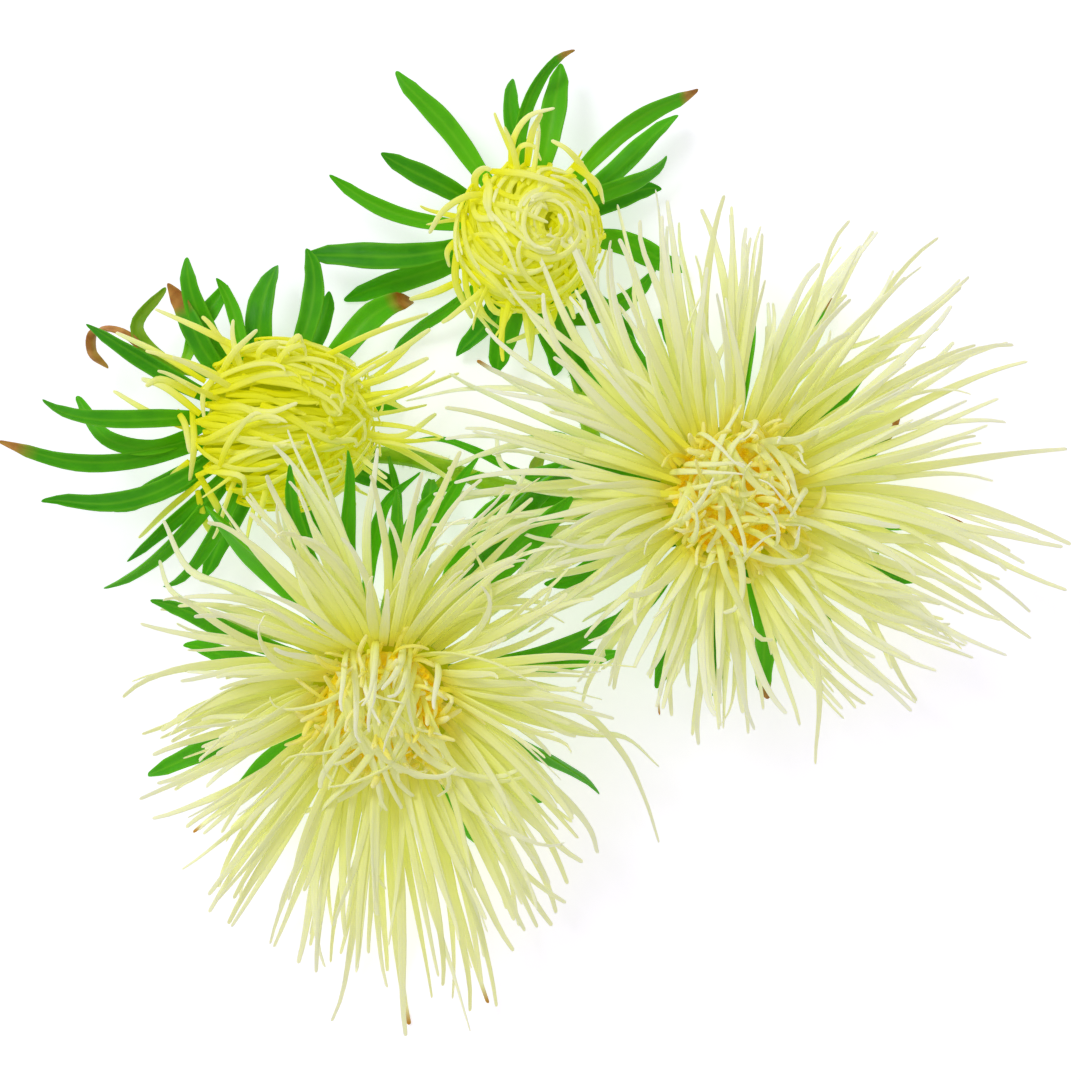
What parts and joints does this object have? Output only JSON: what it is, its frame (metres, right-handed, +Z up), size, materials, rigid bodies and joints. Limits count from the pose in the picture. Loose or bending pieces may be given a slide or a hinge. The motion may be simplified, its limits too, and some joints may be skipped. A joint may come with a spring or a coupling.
{
  "type": "valkyrie aster",
  "caption": "Cut branched flower stem lying down: open needle-petalled aster blooms and half-open heads over leafy green bracts, cream-yellow with golden discs.",
  "frame": {"origin": "middle of the flat spot under the main stem, on the surface that the spray lies on", "axes": "+Z up from the surface; +Y towards the topmost half-open head; +X towards the right-hand open bloom and the cut end"},
  "size_m": [0.1852, 0.169, 0.0515],
  "materials": {
    "stem": "ribbed, softly hairy yellow-green plant stem",
    "bract": "satin green leaf with a lighter midrib",
    "floret": "matt golden tube florets",
    "petal": "soft, slightly translucent cream-yellow petal",
    "young_petal": "soft, slightly translucent lime-yellow petal"
  },
  "bodies": {
    "root": {"stem": "stem", "involucre_right": "bract", "involucre_lower": "bract", "involucre_left": "bract", "involucre_top": "bract", "disc_right": "floret", "disc_lower": "floret", "rays_right": "petal", "rays_lower": "petal", "rays_left": "young_petal", "rays_top": "young_petal"}
  },
  "joints": []
}
